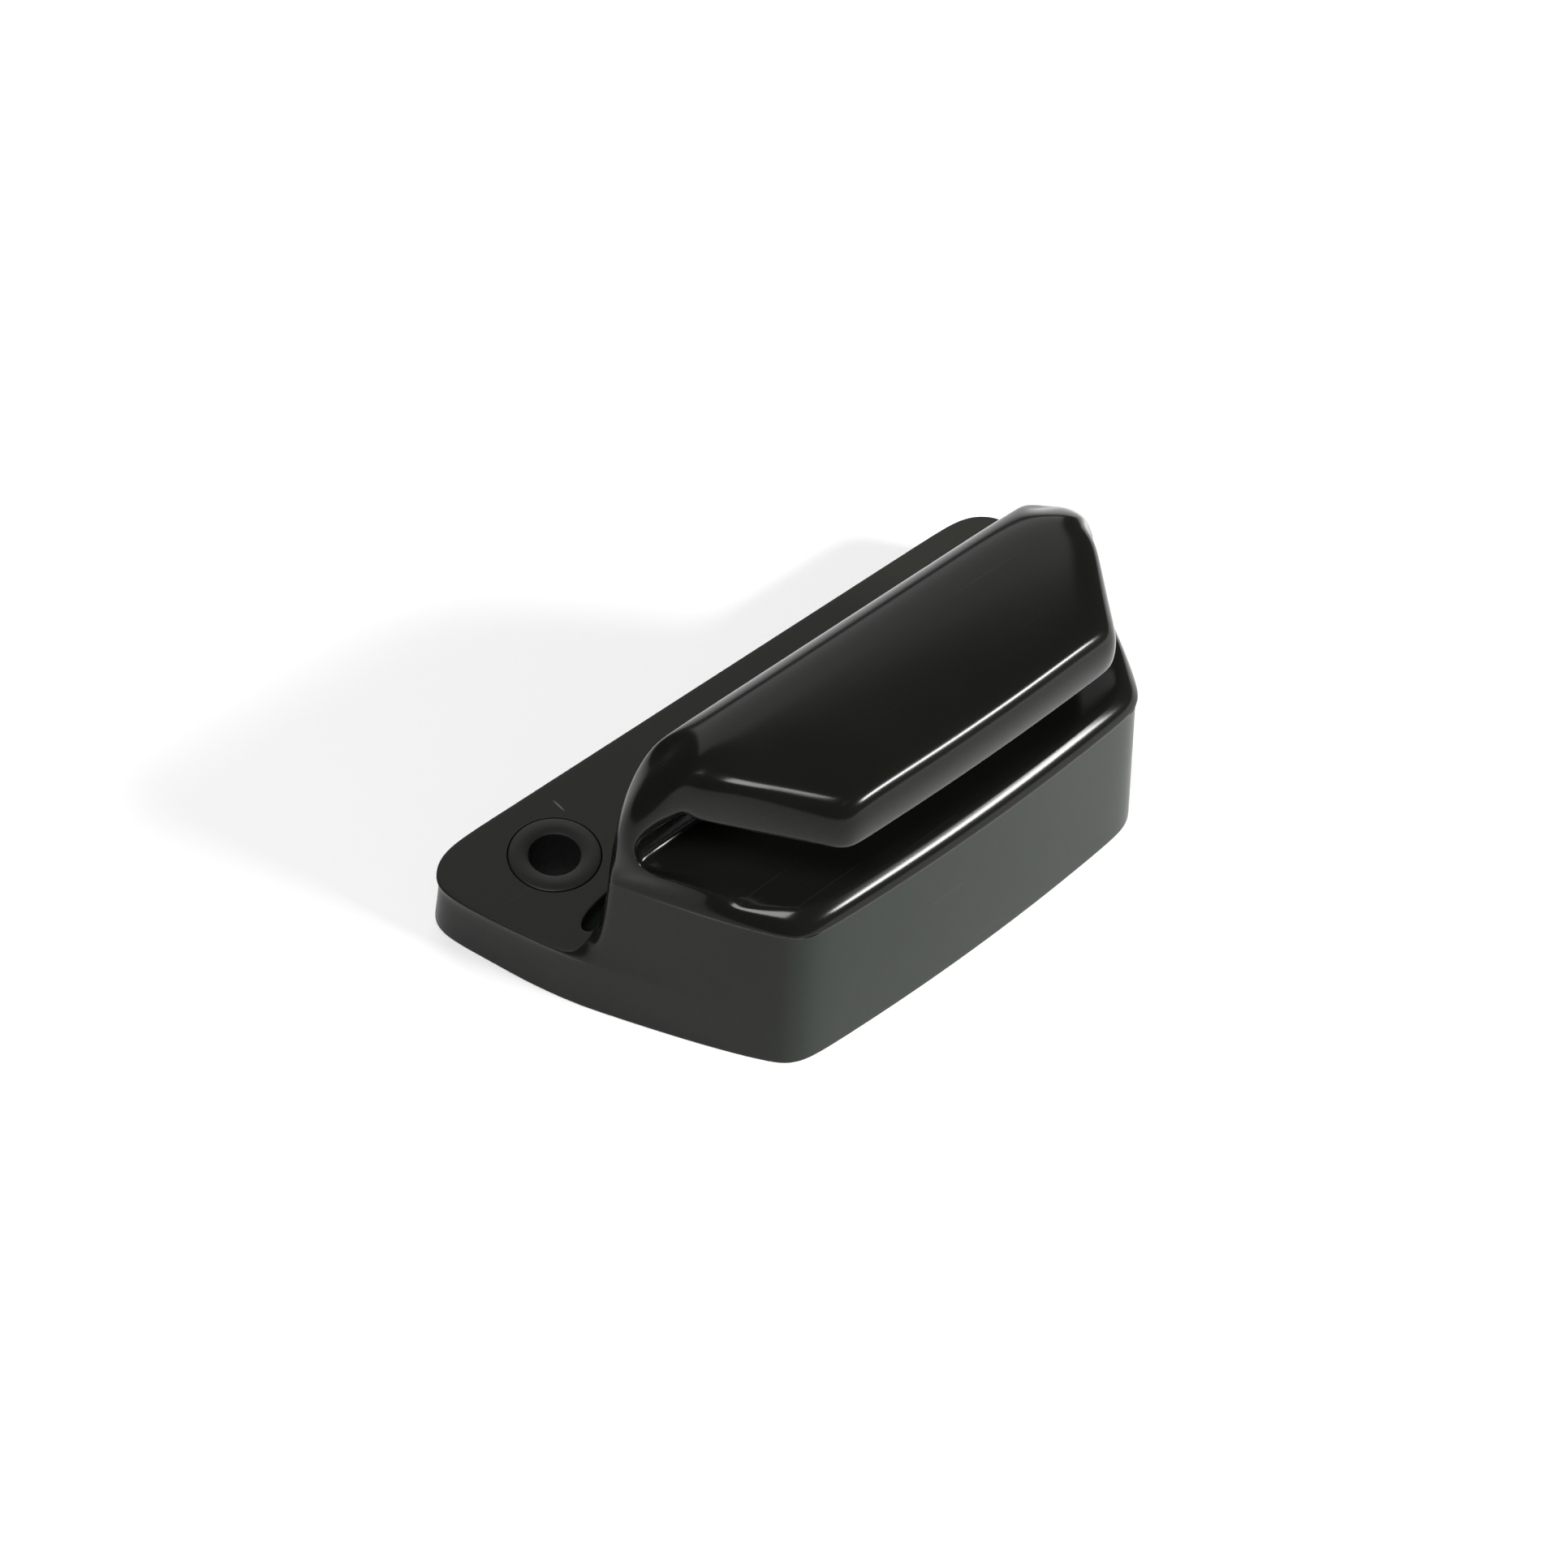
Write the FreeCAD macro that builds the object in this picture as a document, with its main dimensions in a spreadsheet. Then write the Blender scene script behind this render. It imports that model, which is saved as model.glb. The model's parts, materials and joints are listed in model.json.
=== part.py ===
import FreeCAD, Part
import os
import Sketcher
from FreeCAD import Vector

# Side-entry rope cleat for a deck: one plastic moulding with a hooked hood over a rope slot,
# and two screw bushes pressed into its rear flange.
# Frame: X along the cleat, Y from the open side (-) to the screw flange (+), Z up from the deck.

# ---------------------------------------------------------------- driving dimensions (mm, degrees)
DIMENSIONS = {
    "back_width": 82.6,        # flange edge, between its sharp corners
    "front_width": 47.8,       # front wall, between its sharp corners
    "half_depth": 20.0,        # flange edge, and middle of the front wall, from the origin
    "front_bow": 1.05,         # how far the front wall bows out
    "end_bow": 2.15,           # how far each end wall bows out
    "draft_angle": 5.5,        # mould draft of the outer walls
    "hood_height": 32.8,       # underside to crown of the hood
    "flange_thick": 6.6,
    "back_corner": 4.7,        # plan radius of the flange corners
    "front_corner": 6.0,       # plan radius of the front corners
    "wall_back": 2.2,          # back face of the hood at its foot
    "wall_lean": 1.5,          # lean of that face, degrees
    "wall_corner": 3.2,        # upright corners of that face
    "crown_middle": 8.0,       # highest line of the hood, in front of the origin
    "crown_half": 13.0,
    "crown_drop": 0.8,         # fall of the hood's top from that line to its rim
    "top_rim": 4.0,            # radius round the hood's top
    "slot_floor": 19.5,        # rope slot: floor, roof and innermost point
    "slot_roof": 26.8,
    "slot_inner": 1.7,
    "slot_round": 3.5,
    "ledge_round": 1.5,        # outer edge of the slot's floor
    "lip_half_front": 17.9,    # half length of the lip along its front
    "lip_half_back": 27.1,     # half length of the lip where it meets the hood's back wall
    "lip_front": 18.0,
    "lip_back": 3.2,
    "lip_flare": 4.0,          # radius where the lip's end sweeps out to the hood's back wall
    "groove_back": 5.1,        # relief groove in the flange along the hood's foot
    "groove_front": 1.7,
    "groove_run": 60.0,        # length between the centres of its round ends
    "groove_deep": 3.0,
    "hole_spread": 55.9,       # between the two screw holes
    "hole_back": 11.9,         # screw holes, from the origin towards the flange edge
    "bush_across": 9.3,
    "bush_bore": 5.3,
    "bush_proud": 0.35,        # how far a bush stands above the flange
    "bush_edge": 0.25,
}
START, END, CENTRE = 1, 2, 3
Y_AXIS = -2
ORIGIN = (-1, 1)
OUTSIDE = "60"                 # well clear of the part on every side

doc = FreeCAD.newDocument("side_entry_cleat")
sheet = doc.addObject("Spreadsheet::Sheet", "sizes")
for row, (alias, value) in enumerate(DIMENSIONS.items(), start=1):
    sheet.set(f"A{row}", alias)
    sheet.set(f"B{row}", str(value))
    sheet.setAlias(f"B{row}", alias)
doc.recompute()


def size(alias):
    return float(getattr(sheet, alias))


# ---------------------------------------------------------------- bodies, sketches and constraints
def new_body(name):
    body = doc.addObject("PartDesign::Body", name)
    body.Label = name
    return body


def new_sketch(body, name, plane, lift="0"):
    """A sketch on one of the body's origin planes, lifted along the plane's normal."""
    sketch = body.newObject("Sketcher::SketchObject", name)
    origin_plane = [f for f in body.Origin.OriginFeatures if f.Role == plane][0]
    sketch.AttachmentSupport = [(origin_plane, "")]
    sketch.MapMode = "FlatFace"
    sketch.setExpression("AttachmentOffset.Base.z", lift)
    return sketch


def bind(sketch, constraint, expression):
    """Add a constraint whose value comes from the sheet."""
    index = sketch.addConstraint(constraint)
    sketch.setExpression(f"Constraints[{index}]", expression)


def place(sketch, geometry, point, across, along):
    """Fix a point of the sketch at a pair of expressions, measured from the origin."""
    for kind, expression in (("DistanceX", across), ("DistanceY", along)):
        value = float(sketch.evalExpression(expression))
        bind(sketch, Sketcher.Constraint(kind, *ORIGIN, geometry, point, value), expression)


def close_loop(sketch, pieces):
    for first, second in zip(pieces, pieces[1:] + pieces[:1]):
        sketch.addConstraint(Sketcher.Constraint("Coincident", first, END, second, START))


def point_at(sketch, corner):
    return Vector(*(float(sketch.evalExpression(value)) for value in corner), 0)


def add_polygon(sketch, corners):
    """Closed outline of straight lines; each corner is a pair of expressions."""
    points = [point_at(sketch, corner) for corner in corners]
    lines = [
        sketch.addGeometry(Part.LineSegment(point, following))
        for point, following in zip(points, points[1:] + points[:1])
    ]
    close_loop(sketch, lines)
    for line, corner in zip(lines, corners):
        place(sketch, line, START, *corner)


def arc_through(start, end, bow):
    """Arc from start to end whose middle stands off the chord by bow, to the right of travel."""
    chord = end - start
    side = Vector(chord.y, -chord.x, 0).normalize()
    return Part.Arc(start, (start + end) * 0.5 + side * bow, end)


def bow_radius(chord, bow):
    """Radius of an arc, from the expressions for its chord and its bow."""
    return f"(({chord})^2 / 4 + ({bow})^2) / (2 * ({bow}))"


def add_circle(sketch, across, along, radius):
    centre = point_at(sketch, (across, along))
    circle = sketch.addGeometry(Part.Circle(centre, Vector(0, 0, 1), 1.0))
    bind(sketch, Sketcher.Constraint("Radius", circle, 1.0), radius)
    place(sketch, circle, CENTRE, across, along)


# ---------------------------------------------------------------- features
def add_pad(body, name, profile, length, taper="0"):
    pad = body.newObject("PartDesign::Pad", name)
    pad.Profile = profile
    pad.setExpression("Length", length)
    pad.setExpression("TaperAngle", taper)
    doc.recompute()
    return pad


LEAST_CUT = 1.0                # mm3; a pocket that takes less has missed the body


def add_cut(body, name, profile, length=None, both_ways=False, upwards=False):
    """A pocket that has to take material away."""
    before = body.Tip.Shape.Volume
    pocket = body.newObject("PartDesign::Pocket", name)
    pocket.Profile = profile
    if length is None:
        pocket.Type = "ThroughAll"
    else:
        pocket.setExpression("Length", length)
    pocket.SideType = "Symmetric" if both_ways else "One side"
    pocket.Reversed = upwards
    doc.recompute()
    taken = before - pocket.Shape.Volume
    if taken < LEAST_CUT:
        raise RuntimeError(f"{name} takes nothing away")
    return pocket


def add_round(body, name, radius, wanted):
    """A fillet on the edges of the body so far that wanted(middle, tangent, edge) picks."""
    base = body.Tip
    names = []
    for number, edge in enumerate(base.Shape.Edges, start=1):
        first, last = edge.ParameterRange
        middle = (first + last) / 2
        if wanted(edge.valueAt(middle), edge.tangentAt(middle), edge):
            names.append(f"Edge{number}")
    fillet = body.newObject("PartDesign::Fillet", name)
    fillet.Base = (base, names)
    fillet.setExpression("Radius", radius)
    doc.recompute()
    return fillet


def upright(tangent):
    return abs(tangent.z) > 0.9


def level(tangent):
    return abs(tangent.z) < 0.35


NEAR = 0.02                    # how close an edge's middle has to be to the place it is picked by

# ---------------------------------------------------------------- cleat body
cleat = new_body("cleat_body")

# Plan: straight flange edge, ends that bow and slant in, and a shorter bowed front.
plan = new_sketch(cleat, "plan_outline", "XY_Plane")
front_y = "-(sizes.half_depth - sizes.front_bow)"
back_left, back_right, front_left, front_right = (
    point_at(plan, corner) for corner in (
        ("-sizes.back_width / 2", "sizes.half_depth"),
        ("sizes.back_width / 2", "sizes.half_depth"),
        ("-sizes.front_width / 2", front_y),
        ("sizes.front_width / 2", front_y),
    ))
edge_back = plan.addGeometry(Part.LineSegment(back_right, back_left))
end_left = plan.addGeometry(arc_through(back_left, front_left, size("end_bow")))
edge_front = plan.addGeometry(arc_through(front_left, front_right, size("front_bow")))
end_right = plan.addGeometry(arc_through(front_right, back_right, size("end_bow")))
close_loop(plan, [edge_back, end_left, edge_front, end_right])
for edge in (edge_back, edge_front):
    plan.addConstraint(Sketcher.Constraint("Symmetric", edge, START, edge, END, Y_AXIS))
place(plan, edge_back, START, "sizes.back_width / 2", "sizes.half_depth")
place(plan, edge_front, END, "sizes.front_width / 2", front_y)
slant = "(sizes.back_width - sizes.front_width) / 2"
end_chord = f"sqrt(({slant})^2 + (2 * sizes.half_depth - sizes.front_bow)^2)"
for edge in (end_left, end_right):
    bind(plan, Sketcher.Constraint("Radius", edge, 100.0), bow_radius(end_chord, "sizes.end_bow"))
bind(plan, Sketcher.Constraint("Radius", edge_front, 250.0),
     bow_radius("sizes.front_width", "sizes.front_bow"))
add_pad(cleat, "block", plan, "sizes.hood_height", "-sizes.draft_angle")
add_round(cleat, "flange_corners", "sizes.back_corner", lambda p, t, e: upright(t) and p.y > 0)

# Everything behind the hood comes down to the flange.
behind_hood = new_sketch(cleat, "behind_hood", "YZ_Plane")
wall_above = f"sizes.wall_back - ({OUTSIDE} - sizes.flange_thick) * tan(sizes.wall_lean)"
add_polygon(behind_hood, [
    ("sizes.wall_back", "sizes.flange_thick"),
    (OUTSIDE, "sizes.flange_thick"),
    (OUTSIDE, OUTSIDE),
    (wall_above, OUTSIDE),
])
add_cut(cleat, "flange_cut", behind_hood, both_ways=True)
wall_middle = (size("hood_height") + size("flange_thick")) / 2
add_round(cleat, "hood_back_corners", "sizes.wall_corner",
          lambda p, t, e: upright(t) and 0 < p.y < size("wall_back") and p.z > wall_middle - 1)
add_round(cleat, "front_corners", "sizes.front_corner",
          lambda p, t, e: upright(t) and p.y < -size("half_depth") / 2)

# The hood's top is crowned from back to front, and rounded all along its rim.
above_crown = new_sketch(cleat, "above_crown", "YZ_Plane")
rim_height = "sizes.hood_height - sizes.crown_drop"
rim_back, rim_front, sky_front, sky_back = (
    point_at(above_crown, corner) for corner in (
        ("sizes.crown_half - sizes.crown_middle", rim_height),
        ("-sizes.crown_half - sizes.crown_middle", rim_height),
        ("-sizes.crown_half - sizes.crown_middle", OUTSIDE),
        ("sizes.crown_half - sizes.crown_middle", OUTSIDE),
    ))
crown_arc = above_crown.addGeometry(arc_through(rim_back, rim_front, size("crown_drop")))
sky = [
    above_crown.addGeometry(Part.LineSegment(start, end))
    for start, end in ((rim_front, sky_front), (sky_front, sky_back), (sky_back, rim_back))
]
close_loop(above_crown, [crown_arc] + sky)
bind(above_crown, Sketcher.Constraint("Radius", crown_arc, 100.0),
     bow_radius("2 * sizes.crown_half", "sizes.crown_drop"))
place(above_crown, crown_arc, START, "sizes.crown_half - sizes.crown_middle", rim_height)
place(above_crown, crown_arc, END, "-sizes.crown_half - sizes.crown_middle", rim_height)
place(above_crown, sky[0], END, "-sizes.crown_half - sizes.crown_middle", OUTSIDE)
place(above_crown, sky[1], END, "sizes.crown_half - sizes.crown_middle", OUTSIDE)
add_cut(cleat, "crown", above_crown, both_ways=True)
add_round(cleat, "top_rim", "sizes.top_rim",
          lambda p, t, e: level(t) and p.z > size("hood_height") - 2 * size("crown_drop"))

# Rope slot: open to the front and at both ends, with a rounded inner wall.
rope_slot = new_sketch(cleat, "rope_slot_profile", "YZ_Plane")
add_polygon(rope_slot, [
    ("-sizes.slot_inner", "sizes.slot_floor"),
    ("-sizes.slot_inner", "sizes.slot_roof"),
    (f"-{OUTSIDE}", "sizes.slot_roof"),
    (f"-{OUTSIDE}", "sizes.slot_floor"),
])
add_cut(cleat, "rope_slot", rope_slot, both_ways=True)
add_round(cleat, "slot_inner_round", "sizes.slot_round",
          lambda p, t, e: level(t) and abs(p.y + size("slot_inner")) < NEAR)
slot_depth_middle = -(size("slot_inner") + size("slot_round")) - 1
add_round(cleat, "ledge_edge", "sizes.ledge_round",
          lambda p, t, e: level(t) and abs(p.z - size("slot_floor")) < NEAR and p.y < slot_depth_middle)

# The lip is shorter than the block: its ends stand back, and sweep out to the hood's back wall.
slot_middle = "(sizes.slot_floor + sizes.slot_roof) / 2"
for side, sign in (("left", "-1"), ("right", "1")):
    beside_lip = new_sketch(cleat, f"beside_lip_{side}", "XY_Plane", slot_middle)
    add_polygon(beside_lip, [
        (f"{sign} * sizes.lip_half_back", "-sizes.lip_back"),
        (f"{sign} * {OUTSIDE}", "-sizes.lip_back"),
        (f"{sign} * {OUTSIDE}", f"-{OUTSIDE}"),
        (f"{sign} * sizes.lip_half_front", f"-{OUTSIDE}"),
        (f"{sign} * sizes.lip_half_front", "-sizes.lip_front"),
    ])
    add_cut(cleat, f"lip_end_{side}", beside_lip, upwards=True)
add_round(cleat, "lip_flares", "sizes.lip_flare",
          lambda p, t, e: upright(t) and abs(abs(p.x) - size("lip_half_back")) < NEAR
          and abs(p.y + size("lip_back")) < NEAR)

# Relief groove with round ends, in the flange along the hood's foot.
groove = new_sketch(cleat, "foot_groove_outline", "XY_Plane", "sizes.flange_thick")
run = "sizes.groove_run / 2"
groove_radius = (size("groove_back") - size("groove_front")) / 2
groove_left, groove_right, groove_far_right, groove_far_left = (
    point_at(groove, corner) for corner in (
        (f"-{run}", "sizes.groove_front"), (run, "sizes.groove_front"),
        (run, "sizes.groove_back"), (f"-{run}", "sizes.groove_back"),
    ))
groove_pieces = [
    groove.addGeometry(Part.LineSegment(groove_left, groove_right)),
    groove.addGeometry(arc_through(groove_right, groove_far_right, groove_radius)),
    groove.addGeometry(Part.LineSegment(groove_far_right, groove_far_left)),
    groove.addGeometry(arc_through(groove_far_left, groove_left, groove_radius)),
]
close_loop(groove, groove_pieces)
place(groove, groove_pieces[0], START, f"-{run}", "sizes.groove_front")
place(groove, groove_pieces[0], END, run, "sizes.groove_front")
place(groove, groove_pieces[2], START, run, "sizes.groove_back")
place(groove, groove_pieces[2], END, f"-{run}", "sizes.groove_back")
for piece, sign in ((groove_pieces[1], "1"), (groove_pieces[3], "-1")):
    bind(groove, Sketcher.Constraint("DistanceX", *ORIGIN, piece, CENTRE, groove_left.x),
         f"{sign} * {run}")
add_cut(cleat, "foot_groove", groove, length="sizes.groove_deep")

# Seats for the two screw bushes, right through the flange.
seats = new_sketch(cleat, "bush_seat_circles", "XY_Plane")
for sign in ("-1", "1"):
    add_circle(seats, f"{sign} * sizes.hole_spread / 2", "sizes.hole_back", "sizes.bush_across / 2")
add_cut(cleat, "bush_seats", seats, upwards=True)


# ---------------------------------------------------------------- screw bushes
def add_bush(name, sign):
    """A plain sleeve that carries a screw's load to the deck; its top edge is broken."""
    bush = new_body(name)
    ring = new_sketch(bush, f"{name}_ring", "XY_Plane")
    add_circle(ring, "0", "0", "sizes.bush_across / 2")
    add_circle(ring, "0", "0", "sizes.bush_bore / 2")
    sleeve = add_pad(bush, f"{name}_sleeve", ring, "sizes.flange_thick + sizes.bush_proud")
    top_edges = [
        f"Edge{number}" for number, edge in enumerate(sleeve.Shape.Edges, start=1)
        if abs(edge.CenterOfMass.z - size("flange_thick") - size("bush_proud")) < NEAR
    ]
    broken = bush.newObject("PartDesign::Chamfer", f"{name}_broken_edge")
    broken.Base = (sleeve, top_edges)
    broken.setExpression("Size", "sizes.bush_edge")
    bush.setExpression("Placement.Base.x", f"{sign} * sizes.hole_spread / 2")
    bush.setExpression("Placement.Base.y", "sizes.hole_back")
    return bush


sub_parts = [cleat, add_bush("left_screw_bush", "-1"), add_bush("right_screw_bush", "1")]

# ---------------------------------------------------------------- check and write
doc.recompute()
for item in doc.Objects:
    if {"Invalid", "Error"} & set(item.State):
        raise RuntimeError(f"{item.Name} is in state {item.State}")
for item in sub_parts:
    if item.Shape.isNull() or not item.Shape.isValid() or len(item.Shape.Solids) != 1:
        raise RuntimeError(f"{item.Label} is not one valid solid")

os.makedirs("parts", exist_ok=True)
for item in sub_parts:
    item.Shape.exportStep(f"parts/{item.Label}.step")
    print(f"{item.Label}: {item.Shape.Volume:.0f} mm3")
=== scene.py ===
import json
import math

import bmesh
import bpy
from mathutils import Matrix, Vector


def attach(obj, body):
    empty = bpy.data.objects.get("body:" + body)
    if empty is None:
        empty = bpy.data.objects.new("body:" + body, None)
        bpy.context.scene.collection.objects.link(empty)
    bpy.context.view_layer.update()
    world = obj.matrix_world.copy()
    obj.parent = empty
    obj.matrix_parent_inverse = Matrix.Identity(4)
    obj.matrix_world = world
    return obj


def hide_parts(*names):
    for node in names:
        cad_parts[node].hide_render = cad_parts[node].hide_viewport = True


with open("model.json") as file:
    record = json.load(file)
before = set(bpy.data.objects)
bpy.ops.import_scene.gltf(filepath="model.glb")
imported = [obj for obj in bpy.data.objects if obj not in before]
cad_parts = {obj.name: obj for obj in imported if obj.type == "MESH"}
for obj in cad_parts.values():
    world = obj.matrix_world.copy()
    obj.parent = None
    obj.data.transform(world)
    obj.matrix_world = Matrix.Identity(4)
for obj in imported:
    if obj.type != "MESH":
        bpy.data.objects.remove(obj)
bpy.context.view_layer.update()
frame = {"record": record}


# ---------------------------------------------------------------- cleat body
# One black plastic moulding: a base that is longest at its screw flange, a ledge along its open
# side, and a hooked hood whose lip overhangs the rope slot. The mould leaves a fine step in front.
MM = 0.001                     # the block is drawn in millimetres and brought to size at the end

# Columns, rows and levels of the rough block. Each name is a point's place before it is settled.
WALL, WALL_INSIDE, LIP_END, INNER, MIDWAY = 40, 36, 30, 20, 10
FRONT, FRONT_CORNER, LEDGE = -20, -17.3, -10.5
SLOT_BACK, POST, HOOD_BACK = -1.5, 0.2, 2.2
GROOVE_BACK, FLANGE_MIDDLE, FLANGE_CORNER, FLANGE_EDGE = 5.8, 10, 15.7, 20
FOOT, RIM_UNDER, RIM_LOW, FLANGE_TOP = 0.3, 5.9, 6.15, 6.6
COVE, UNDER_PARTING, PARTING, OVER_PARTING = 9.2, 17.4, 17.7, 17.8
LEDGE_SIDE, LEDGE_ROUND, LEDGE_TOP = 18.1, 19.0, 19.9
SLOT_MIDDLE, SLOT_ROOF, LIP_MIDDLE, HOOD_TOP = 23, 26.8, 29.8, 32.8
LIP_ROOT, LIP_INNER, LIP_CORNER, LIP_FRONT = -5.2, -10.4, -14.6, -17.4


def pick(test, kind="VERT"):
    """Selects the vertices or faces of the mesh being edited whose place passes the test."""
    bpy.ops.mesh.select_mode(type=kind)
    bpy.ops.mesh.select_all(action="DESELECT")
    mesh = bmesh.from_edit_mesh(bpy.context.object.data)
    if kind == "VERT":
        for vertex in mesh.verts:
            vertex.select_set(test(vertex.co))
    else:
        for face in mesh.faces:
            face.select_set(test(face.calc_center_median(), face.normal))
    mesh.select_flush_mode()
    bmesh.update_edit_mesh(bpy.context.object.data)


def extrude(shift):
    bpy.ops.mesh.extrude_region_move(TRANSFORM_OT_translate={"value": shift})


bpy.ops.object.select_all(action="DESELECT")
bpy.ops.mesh.primitive_cube_add(size=1, location=(0, 0, FLANGE_TOP / 2))
cleat = bpy.context.object
cleat.name = "cleat_moulding"
cleat.scale = (2 * WALL, FLANGE_EDGE - FRONT, FLANGE_TOP)
bpy.ops.object.transform_apply(location=True, scale=True)

bpy.ops.object.mode_set(mode="EDIT")
cuts = [((x * side, 0, 0), (1, 0, 0)) for x in (WALL_INSIDE, LIP_END, INNER, MIDWAY) for side in (-1, 1)]
cuts += [((0, 0, 0), (1, 0, 0))]
cuts += [((0, y, 0), (0, 1, 0)) for y in (FRONT_CORNER, LEDGE, SLOT_BACK, POST, HOOD_BACK,
                                          GROOVE_BACK, FLANGE_MIDDLE, FLANGE_CORNER)]
cuts += [((0, 0, z), (0, 0, 1)) for z in (FOOT, RIM_UNDER, RIM_LOW)]
for place, direction in cuts:
    bpy.ops.mesh.select_all(action="SELECT")
    bpy.ops.mesh.bisect(plane_co=place, plane_no=direction, threshold=0.0001)

# The base in front of the flange goes up to the ledge, and the post behind the slot to the top.
pick(lambda p, n: n.z > 0.9 and p.y < HOOD_BACK, "FACE")
below = FLANGE_TOP
for level in (COVE, UNDER_PARTING, PARTING, OVER_PARTING, LEDGE_SIDE, LEDGE_ROUND, LEDGE_TOP):
    extrude((0, 0, level - below))
    below = level
pick(lambda p, n: n.z > 0.9 and SLOT_BACK < p.y < HOOD_BACK and p.z > COVE, "FACE")
for level in (SLOT_MIDDLE, SLOT_ROOF, LIP_MIDDLE, HOOD_TOP):
    extrude((0, 0, level - below))
    below = level

# The lip is drawn forward from the post, short of both ends.
pick(lambda p, n: n.y < -0.9 and p.z > SLOT_ROOF and abs(p.x) < LIP_END, "FACE")
behind = SLOT_BACK
for row in (LIP_ROOT, LIP_INNER, LIP_CORNER, LIP_FRONT):
    extrude((0, row - behind, 0))
    behind = row


END_START = -18.95             # where the end walls begin, at the front
FRONT_HALF, END_SPREAD = 23.9, 17.4
END_BOW, FRONT_BOW = 2.36, 1.05
END_DRAFT, FRONT_DRAFT = 0.113, 0.09


def wall_at(y, z):
    """Half the cleat's length at a depth and a height: bowed in plan, drafted in height."""
    along = (y - END_START) / (FLANGE_EDGE - END_START)
    bow = END_BOW * (1 - (2 * along - 1) ** 2)
    flange = min(max((y - 2) / 8, 0), 1)
    height = z * (1 - flange) + FLANGE_TOP * flange
    return FRONT_HALF + END_SPREAD * along + bow - END_DRAFT * height


def across(column, outline, ribs):
    """A point's distance from the middle: ribs gives how far its column stands inside the outline."""
    if column in (MIDWAY, 0):
        return (outline - ribs[INNER]) * column / (2 * MIDWAY)
    return outline - ribs[column]


LIP_BACK, LIP_BACK_HALF, LIP_SLANT = -5.4, 25.5, 0.64


def lip_at(y):
    """Half the length of the lip at a depth."""
    return LIP_BACK_HALF + LIP_SLANT * (y - LIP_BACK)


def settled_lip(column, row, level):
    """Where a point of the lip comes to rest. The top is drawn in, so that its edge rounds over."""
    y = {LIP_ROOT: -6.2, LIP_INNER: -10.4, LIP_CORNER: -14.8, LIP_FRONT: -17.5}[row]
    z = level
    end = lip_at(y) + {LIP_ROOT: 0.7, LIP_INNER: 0.4}.get(row, 0.1)
    support = 3.4 if row in (LIP_ROOT, LIP_INNER) else 2.6
    if level == HOOD_TOP:
        y = {LIP_ROOT: -7.6, LIP_INNER: -11.2, LIP_CORNER: -14.2, LIP_FRONT: -16.3}[row]
        end = lip_at(y) - {LIP_ROOT: -0.1, LIP_INNER: 0.7}.get(row, 1.3)
        z = {LIP_ROOT: 32.75, LIP_INNER: 32.6, LIP_CORNER: 32.4, LIP_FRONT: 32.15}[row]
        if column == LIP_END:
            z -= 0.4
    x = across(column, end, {LIP_END: 0, INNER: support})
    if row == LIP_FRONT:
        y += 0.5 * (x / 19) ** 2
        z -= 0.15 if level == SLOT_ROOF else 0
    return x, y, z


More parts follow.
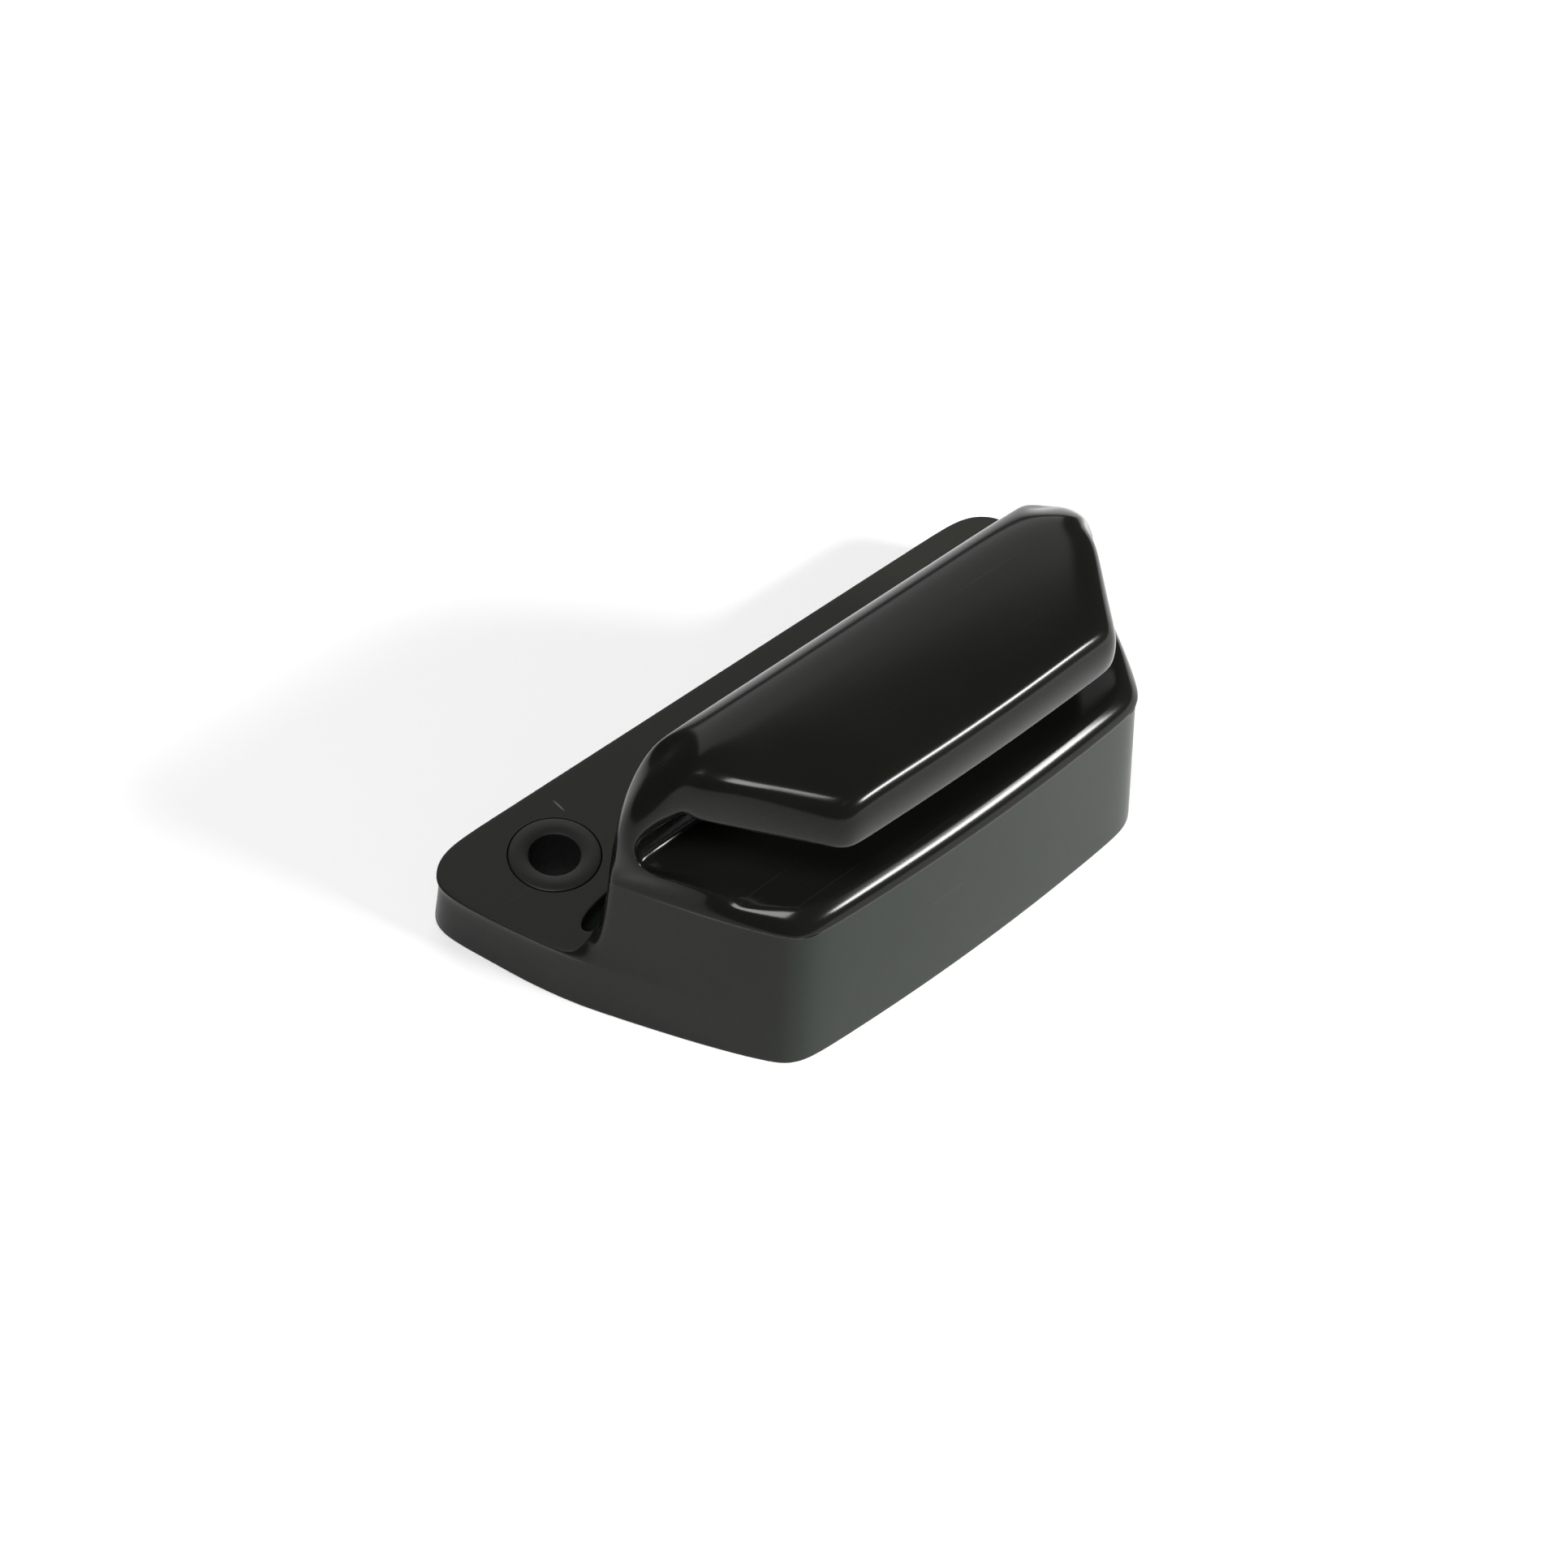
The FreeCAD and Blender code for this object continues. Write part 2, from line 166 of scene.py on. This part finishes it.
def settled_post(column, row, level):
    """Where a point of the hood's post comes to rest, from the cove at its foot up to the ridge."""
    x = across(column, wall_at(HOOD_BACK, level), {WALL: 3.0, WALL_INSIDE: 5.2, LIP_END: 7.5, INNER: 12})
    y = 2.6 - 0.005 * (level - FLANGE_TOP)
    z = level
    if row == HOOD_BACK and column == WALL:
        y -= 1.6
    if row == POST:
        y = 0.2 if column != WALL else -0.7
        x = wall_at(-0.7, level) - 0.15 if column == WALL else x
    if row == SLOT_BACK:
        y = SLOT_BACK
        x = across(column, wall_at(-2.0, level), {WALL: 0, WALL_INSIDE: 1.3, LIP_END: 3.3, INNER: 8})
        # The slot's mouth is round: its lower corner is drawn forward and up, its middle back.
        if column == WALL and level == LEDGE_ROUND:
            x -= 0.25
        if column == WALL and level == LEDGE_TOP:
            x -= 1.1
            y = -4.3
            z += 1.5
        if column == WALL and level == SLOT_MIDDLE:
            y = -2.1
            z += 1.4
        # Above the slot the post sweeps in to meet the lip's end.
        if level >= SLOT_ROOF:
            x = {WALL: 28.9, WALL_INSIDE: 27.8, LIP_END: 26.7}.get(column, x)
            y = {WALL: -3.0, WALL_INSIDE: -3.7, LIP_END: -4.4}.get(column, SLOT_BACK)
            z += 0.5 if level == SLOT_ROOF and column == WALL else 0
    # The cove hugs the foot of the hood, and the ridge at the top is round all along.
    if level == COVE and row == HOOD_BACK:
        x += {WALL: -0.6, WALL_INSIDE: 0.9, LIP_END: 0.7}.get(column, 0)
        y -= {WALL: 0.3, WALL_INSIDE: 0.6}.get(column, 0)
    if level == SLOT_ROOF and row != SLOT_BACK and column in (WALL, WALL_INSIDE):
        x -= 0.6
    if level == LIP_MIDDLE:
        z = 29.6
        if row == SLOT_BACK:
            x -= {WALL: 1.2, WALL_INSIDE: 0.8, LIP_END: 0.4}.get(column, 0)
        else:
            x -= {WALL: 3.5, WALL_INSIDE: 2.6, LIP_END: 1.2}.get(column, 0)
    if level == HOOD_TOP:
        y = {HOOD_BACK: 1.1, POST: -1.4, SLOT_BACK: -5.0}[row]
        z = {HOOD_BACK: 31.4, POST: 32.8, SLOT_BACK: 32.8}[row]
        z -= {WALL: 1.7, WALL_INSIDE: 0.7, LIP_END: 0.25}.get(column, 0)
        x -= {WALL: 4.5, WALL_INSIDE: 4.0, LIP_END: 3.5, INNER: 3}.get(column, 0)
        if row == SLOT_BACK:
            x = {WALL: 26.3, WALL_INSIDE: 25.7, LIP_END: 25.0}.get(column, x)
            y = {WALL: -3.4, WALL_INSIDE: -4.1, LIP_END: -5.0}.get(column, y)
        elif row == HOOD_BACK and column == WALL:
            y -= 0.5
    return x, y, z


def settled_base(column, row, level):
    """Where a point of the base comes to rest, before its edges are stepped and rounded."""
    y = row
    z = level
    lean = FRONT_DRAFT * level
    if row in (FRONT, FRONT_CORNER):
        y += lean
    wall = wall_at(max(y, END_START + lean), level)
    x = across(column, wall, {WALL: 0, WALL_INSIDE: 2, LIP_END: 6.5, INNER: 12})
    if row == FRONT:
        y = FRONT + lean + FRONT_BOW * (x / FRONT_HALF) ** 2
        if column == WALL:
            x -= 0.27
            y += 0.53
    if row == FLANGE_EDGE:
        x = {WALL: 38.23, WALL_INSIDE: 35.8, LIP_END: 29.9, INNER: 22, MIDWAY: 11, 0: 0}[column]
        y -= 2.13 if column == WALL else 0.55
    # The relief groove's end curls round the foot of the hood.
    if row == GROOVE_BACK and column == LIP_END:
        x = 32.3
        y = 4.7
    if row == HOOD_BACK and level == FLANGE_TOP:
        x = {LIP_END: 32.4, WALL_INSIDE: 33.6}.get(column, x)
        y = {LIP_END: 0.9, WALL_INSIDE: 1.1, WALL: 1.4}.get(column, y)
    return x, y, z


def settled(column, row, level):
    """Where any point of the rough block comes to rest."""
    if level >= SLOT_ROOF and row < SLOT_BACK - 0.1:
        return settled_lip(column, row, level)
    if SLOT_BACK <= row <= HOOD_BACK and level >= COVE:
        return settled_post(column, row, level)
    x, y, z = settled_base(column, row, level)
    # The flange's rim stands out over its foot, and the mould's upper half over its lower half.
    if row > HOOD_BACK and level < RIM_LOW:
        step = 0.5 * z / RIM_UNDER - 0.2
        if column == WALL:
            x -= step
        if row == FLANGE_EDGE:
            y -= step
    if row in (FRONT, FRONT_CORNER, LEDGE) and level > PARTING:
        out = 0.2 if row != LEDGE else 0.08
        if row == FRONT:
            y -= out
        if column == WALL:
            x += out
    rounding = {LEDGE_ROUND: 0.4, LEDGE_TOP: 1.4}.get(level, 0)
    if row < SLOT_BACK:
        if column in (WALL, WALL_INSIDE):
            x -= rounding
            z += 0.3 if column == WALL and row == LEDGE and level == LEDGE_TOP else 0
        if row in (FRONT, FRONT_CORNER):
            y += rounding
    return x, y, z


# Each point of the rough block is drawn to its own place, both ends alike.
homes = {}
for vertex in bmesh.from_edit_mesh(cleat.data).verts:
    home = (round(abs(vertex.co.x)), round(vertex.co.y, 2), round(vertex.co.z, 2))
    homes.setdefault(home, set()).add(vertex.index)
bpy.ops.mesh.select_mode(type="VERT")
for (column, row, level), members in homes.items():
    x, y, z = settled(column, row, level)
    bpy.ops.mesh.select_all(action="DESELECT")
    mesh = bmesh.from_edit_mesh(cleat.data)
    mesh.verts.ensure_lookup_table()
    for index in members:
        mesh.verts[index].select_set(True)
    bpy.ops.transform.translate(value=(0, y - row, z - level))
    if column:
        bpy.ops.transform.resize(value=(x / column, 1, 1), center_override=(0, 0, 0))

# Fine rims: round the underside, round the flange's top, and round the ledge.
pick(lambda p, n: n.z < -0.9, "FACE")
bpy.ops.mesh.inset(thickness=0.35)
pick(lambda p, n: n.z > 0.9 and p.y > HOOD_BACK and p.z < COVE, "FACE")
bpy.ops.mesh.inset(thickness=0.4)
pick(lambda p, n: n.z > 0.6 and p.y < SLOT_BACK and LEDGE_ROUND < p.z < SLOT_ROOF - 2, "FACE")
bpy.ops.mesh.inset(thickness=0.9)
# The inner ring of the ledge is drawn forward from the slot's back, which rounds that corner too.
pick(lambda p: SLOT_BACK - 1.2 < p.y < SLOT_BACK - 0.6 and abs(p.z - LEDGE_TOP) < 0.1)
bpy.ops.transform.translate(value=(0, -3.2, 0))
pick(lambda p: -6.5 < p.y < -4.5 and 0.3 < p.z - LEDGE_TOP < 1.45 and abs(p.x) > INNER)
bpy.ops.transform.translate(value=(0, -1, -0.7))

# Relief groove in the flange along the hood's foot.
pick(lambda p, n: n.z > 0.9 and 0.3 < p.y - HOOD_BACK < 3.6 and p.z < COVE and abs(p.x) < 31, "FACE")
bpy.ops.mesh.inset(thickness=0.25)
extrude((0, 0, -0.4))
extrude((0, 0, -2.5))
bpy.ops.object.mode_set(mode="OBJECT")

rounding = cleat.modifiers.new("rounding", "SUBSURF")
rounding.levels = rounding.render_levels = 3
bpy.ops.object.modifier_apply(modifier="rounding")

# Seats for the two screw bushes, right through the flange.
HOLE_SPREAD = 55.9
HOLES = [(side * HOLE_SPREAD / 2, frame["record"]["mounts"][0]["pos_m"][1] / MM) for side in (-1, 1)]
BUSH_RADIUS, SEAT_GAP = 4.6, 0.1
for hole in HOLES:
    bpy.ops.object.select_all(action="DESELECT")
    bpy.ops.mesh.primitive_cylinder_add(
        vertices=128, radius=BUSH_RADIUS + SEAT_GAP, depth=3 * FLANGE_TOP, location=(*hole, 0))
    drill = bpy.context.object
    seat = cleat.modifiers.new("seat", "BOOLEAN")
    seat.operation = "DIFFERENCE"
    seat.object = drill
    bpy.context.view_layer.objects.active = cleat
    bpy.ops.object.modifier_apply(modifier="seat")
    bpy.data.objects.remove(drill)
bpy.ops.object.select_all(action="DESELECT")
cleat.select_set(True)
bpy.context.view_layer.objects.active = cleat
cleat.scale = (MM, MM, MM)
bpy.ops.object.transform_apply(scale=True)
bpy.ops.object.shade_smooth_by_angle(angle=math.radians(40))


def node(tree, kind, inputs=None, **settings):
    """Adds a node to a tree, sets its properties and fills or links its inputs."""
    made = tree.nodes.new(kind)
    for name, value in settings.items():
        setattr(made, name, value)
    for name, value in (inputs or {}).items():
        if hasattr(value, "is_output"):
            tree.links.new(value, made.inputs[name])
        else:
            made.inputs[name].default_value = value
    return made


def fade(tree, value, start, end):
    """0 before start, 1 after end, smooth between."""
    ramp = node(tree, "ShaderNodeMapRange", {"Value": value, "From Min": start, "From Max": end},
                interpolation_type="SMOOTHSTEP")
    return ramp.outputs["Result"]


def maths(tree, operation, first, second):
    return node(tree, "ShaderNodeMath", {0: first, 1: second}, operation=operation).outputs[0]


def blend_values(tree, factor, low, high):
    return node(tree, "ShaderNodeMix", {"Factor": factor, "A": low, "B": high}).outputs[0]


def blend_colours(tree, factor, low, high):
    mixed = node(tree, "ShaderNodeMix", {"Factor": factor, 6: low, 7: high}, data_type="RGBA")
    return mixed.outputs[2]


def axes(tree, vector):
    """The X, Y and Z of a vector."""
    return node(tree, "ShaderNodeSeparateXYZ", {0: vector}).outputs


def plastic_material(name, specular, grain_scale):
    """A plain plastic, with its shader and the surface that all the mouldings share."""
    plastic = bpy.data.materials.new(name)
    plastic.use_nodes = True
    shader = plastic.node_tree.nodes["Principled BSDF"]
    shader.inputs["IOR"].default_value = 1.5
    shader.inputs["Specular IOR Level"].default_value = specular
    surface = node(plastic.node_tree, "ShaderNodeGroup", node_tree=bpy.data.node_groups["moulded_surface"])
    surface.inputs["Grain Scale"].default_value = grain_scale
    return plastic, shader, surface


def grain_bump(tree, surface, depth, shader):
    """Raises the surface's grain on the shader."""
    bump = node(tree, "ShaderNodeBump", {
        "Height": surface.outputs["Grain"], "Strength": depth, "Distance": 0.02 * MM})
    tree.links.new(bump.outputs["Normal"], shader.inputs["Normal"])


def moulded_surface():
    """What moulded plastic shows close up: a drifting tone, a fine grain and hairline scratches."""
    group = bpy.data.node_groups.new("moulded_surface", "ShaderNodeTree")
    group.interface.new_socket("Grain Scale", in_out="INPUT", socket_type="NodeSocketFloat")
    for output in ("Drift", "Grain", "Scratches"):
        group.interface.new_socket(output, in_out="OUTPUT", socket_type="NodeSocketFloat")
    entry = group.nodes.new("NodeGroupInput")
    leave = group.nodes.new("NodeGroupOutput")
    place = node(group, "ShaderNodeTexCoord").outputs["Object"]
    drift = node(group, "ShaderNodeTexNoise", {"Vector": place, "Scale": 70.0, "Detail": 3.0})
    grain = node(group, "ShaderNodeTexNoise", {
        "Vector": place, "Scale": entry.outputs["Grain Scale"], "Detail": 4.0})
    along = node(group, "ShaderNodeMapping", {
        "Vector": place, "Rotation": (0.3, 0.2, 0.7), "Scale": (60, 2600, 900)})
    streak = node(group, "ShaderNodeTexNoise", {"Vector": along.outputs[0], "Scale": 1.0, "Detail": 1.0})
    group.links.new(drift.outputs["Fac"], leave.inputs["Drift"])
    group.links.new(grain.outputs["Fac"], leave.inputs["Grain"])
    group.links.new(fade(group, streak.outputs["Fac"], 0.72, 0.8), leave.inputs["Scratches"])


NICK = (-23.6, 16.4, 6.6)
# The front wall's grey-green is painted light: it is lighter than the plastic's own black.
LIT_FRONT_GREY, FLANGE_BLACK = (0.010, 0.0145, 0.010, 1), (0.014, 0.0145, 0.0115, 1)
DARK_TONE, LIGHT_TONE = (0.0040, 0.0045, 0.0036, 1), (0.0068, 0.0072, 0.0056, 1)
MARK_GREY = (0.11, 0.11, 0.10, 1)


def moulding_finish():
    """Black plastic: polished above the parting line, satin below it, and grained on the flange. The front
    wall below the parting line is painted light, a lighter grey-green.
    """
    plastic, shader, surface = plastic_material("black_moulding", 0.16, 4200.0)
    tree = plastic.node_tree
    place = node(tree, "ShaderNodeTexCoord").outputs["Object"]
    height = axes(tree, place)["Z"]
    facing = axes(tree, node(tree, "ShaderNodeNewGeometry").outputs["Normal"])

    below = fade(tree, height, (PARTING + 0.08) * MM, (PARTING - 0.04) * MM)
    # Painted light: front-facing faces below the parting line get a lighter grey-green, for the light they
    # catch off the floor.
    lit_front_wall = maths(tree, "MULTIPLY", below, fade(tree, facing["Y"], -0.5, -0.85))
    low = fade(tree, height, 8.0 * MM, 6.8 * MM)
    flange = maths(tree, "MULTIPLY", low, fade(tree, facing["Z"], 0.8, 0.98))
    hood_back = maths(tree, "MULTIPLY", fade(tree, facing["Y"], 0.2, 0.7), maths(tree, "SUBTRACT", 1.0, low))
    satin = maths(tree, "MULTIPLY", below, maths(tree, "SUBTRACT", 1.0, hood_back))

    # An old nick in the flange, behind the left bush: long and narrow, across the flange.
    nick_place = node(tree, "ShaderNodeVectorMath", {
        0: place, 1: [v * MM for v in NICK]}, operation="SUBTRACT")
    nick_shape = node(tree, "ShaderNodeVectorMath", {
        0: nick_place.outputs[0], 1: (7000, 900, 300)}, operation="MULTIPLY")
    nick_reach = node(tree, "ShaderNodeVectorMath", {0: nick_shape.outputs[0]}, operation="LENGTH")
    nick = fade(tree, nick_reach.outputs["Value"], 1.0, 0.4)
    marks = maths(tree, "MAXIMUM", maths(tree, "MULTIPLY", surface.outputs["Scratches"], 0.03),
                  maths(tree, "MULTIPLY", nick, 0.8))

    colour = blend_colours(tree, surface.outputs["Drift"], DARK_TONE, LIGHT_TONE)
    colour = blend_colours(tree, flange, colour, FLANGE_BLACK)
    colour = blend_colours(tree, lit_front_wall, colour, LIT_FRONT_GREY)
    colour = blend_colours(tree, marks, colour, MARK_GREY)
    tree.links.new(colour, shader.inputs["Base Color"])

    rough = blend_values(tree, satin, 0.13, 0.3)
    rough = blend_values(tree, flange, rough, 0.4)
    rough = maths(tree, "ADD", rough, maths(tree, "MULTIPLY", surface.outputs["Drift"], 0.05))
    tree.links.new(rough, shader.inputs["Roughness"])
    depth = maths(tree, "ADD", maths(tree, "MULTIPLY", maths(tree, "MAXIMUM", flange, satin), 0.3), 0.03)
    grain_bump(tree, surface, depth, shader)
    return plastic


moulded_surface()
cleat.data.materials.append(moulding_finish())
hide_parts("cleat_body")
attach(cleat, "root")


# ---------------------------------------------------------------- screw bushes
# Two plain sleeves of black plastic, pressed into the flange's seats. They stand a hair proud, and
# their edges are rounded, so a fine dark line shows all round each one.
BUSH_TOP, BUSH_FOOT, BORE_RADIUS = 6.72, 0.02, 2.5
BUSH_PROFILE = (
    (BUSH_RADIUS, BUSH_TOP - 0.22), (BUSH_RADIUS - 0.06, BUSH_TOP - 0.07), (BUSH_RADIUS - 0.22, BUSH_TOP),
    (BORE_RADIUS + 0.5, BUSH_TOP - 0.02), (BORE_RADIUS + 0.12, BUSH_TOP - 0.14),
    (BORE_RADIUS, BUSH_TOP - 0.55), (BORE_RADIUS, BUSH_FOOT), (BUSH_RADIUS, BUSH_FOOT),
)


def screw_bush(name, hole):
    """A sleeve, drawn up from its outer foot, over the rim and down the bore to where it began."""
    bpy.ops.object.select_all(action="DESELECT")
    bpy.ops.mesh.primitive_circle_add(vertices=96, radius=BUSH_RADIUS, location=(*hole, BUSH_FOOT))
    bush = bpy.context.object
    bush.name = name
    bpy.ops.object.mode_set(mode="EDIT")
    bpy.ops.mesh.select_mode(type="VERT")
    bpy.ops.mesh.select_all(action="SELECT")
    radius, height = BUSH_RADIUS, BUSH_FOOT
    for next_radius, next_height in BUSH_PROFILE:
        extrude((0, 0, next_height - height))
        growth = next_radius / radius
        bpy.ops.transform.resize(value=(growth, growth, 1), center_override=(*hole, 0))
        radius, height = next_radius, next_height
    bpy.ops.mesh.select_all(action="SELECT")
    bpy.ops.mesh.remove_doubles(threshold=0.001)
    bpy.ops.mesh.normals_make_consistent(inside=False)
    bpy.ops.object.mode_set(mode="OBJECT")
    bpy.ops.object.transform_apply(location=True)
    bush.scale = (MM, MM, MM)
    bpy.ops.object.transform_apply(scale=True)
    bpy.ops.object.shade_smooth_by_angle(angle=math.radians(30))
    bush.data.materials.append(bush_finish)
    return bush


# Painted shade: the bore is painted near black, darker than the rim, for the shade down the hole.
BORE_PAINTED_SHADE, RIM_BLACK = (0.002, 0.002, 0.002, 1), (0.018, 0.0185, 0.015, 1)


def sleeve_finish():
    """Black plastic, turned: fairly matt on its rim and duller still down the bore, which is painted near
    black as painted shade.
    """
    plastic, shader, surface = plastic_material("black_sleeve", 0.2, 5500.0)
    tree = plastic.node_tree
    facing = axes(tree, node(tree, "ShaderNodeNewGeometry").outputs["Normal"])
    rim = fade(tree, facing["Z"], 0.2, 0.9)
    toned = maths(tree, "MULTIPLY", rim, surface.outputs["Drift"])
    # Painted shade down the bore: faces that do not face up blend to the near-black bore colour.
    tree.links.new(blend_colours(tree, toned, BORE_PAINTED_SHADE, RIM_BLACK), shader.inputs["Base Color"])
    tree.links.new(blend_values(tree, rim, 0.85, 0.38), shader.inputs["Roughness"])
    grain_bump(tree, surface, 0.25, shader)
    return plastic


bush_finish = sleeve_finish()
for name, hole in zip(("left_screw_bush", "right_screw_bush"), HOLES):
    bush = screw_bush(name + "_sleeve", hole)
    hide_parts(name)
    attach(bush, "root")


# ---------------------------------------------------------------- floor, light and camera
# A plain pale sheet runs under the cleat. Three soft lights hang over it: one overhead, a wide one
# behind, and a narrow one to the right of the open side.
bpy.ops.object.select_all(action="DESELECT")
bpy.ops.mesh.primitive_plane_add(size=6, location=(0, 0, 0))
floor = bpy.context.object
floor.name = "floor"
paper = bpy.data.materials.new("pale_paper")
paper.use_nodes = True
paper_shader = paper.node_tree.nodes["Principled BSDF"]
paper_shader.inputs["Base Color"].default_value = (0.9, 0.9, 0.9, 1)
paper_shader.inputs["Roughness"].default_value = 0.9
floor.data.materials.append(paper)

world = bpy.data.worlds.new("studio")
world.use_nodes = True
world.node_tree.nodes["Background"].inputs["Color"].default_value = (1, 1, 1, 1)
world.node_tree.nodes["Background"].inputs["Strength"].default_value = 0.12
bpy.context.scene.world = world


def soft_light(name, place, width, height, power):
    """A rectangular soft light that faces the cleat."""
    light = bpy.data.lights.new(name, "AREA")
    light.shape = "RECTANGLE"
    light.size = width
    light.size_y = height
    light.energy = power
    lamp = bpy.data.objects.new(name, light)
    lamp.location = place
    lamp.rotation_euler = (Vector((0, 0, 0.015)) - Vector(place)).to_track_quat("-Z", "Y").to_euler()
    bpy.context.collection.objects.link(lamp)


soft_light("overhead", (-0.46, -0.14, 1.2), 0.45, 0.45, 14)
soft_light("behind", (0.54, 0.78, 0.56), 0.85, 0.85, 3.2)
soft_light("right_strip", (0.376, -0.606, 0.362), 0.3, 0.1, 9)

camera = bpy.data.objects.new("camera", bpy.data.cameras.new("camera"))
camera.data.lens = 76.37
camera.data.sensor_width = 36
camera.data.clip_start = 0.01
right = Vector((0.73269, -0.67766, 0.06269))
up = Vector((0.49235, 0.59140, 0.63862))
forward = Vector((0.46985, 0.43705, -0.76696))
turn = Matrix((right, up, -forward)).transposed()
camera.matrix_world = Matrix.Translation((-0.16138, -0.14188, 0.26275)) @ turn.to_4x4()
bpy.context.collection.objects.link(camera)
bpy.context.scene.camera = camera
bpy.context.scene.view_settings.view_transform = "Standard"
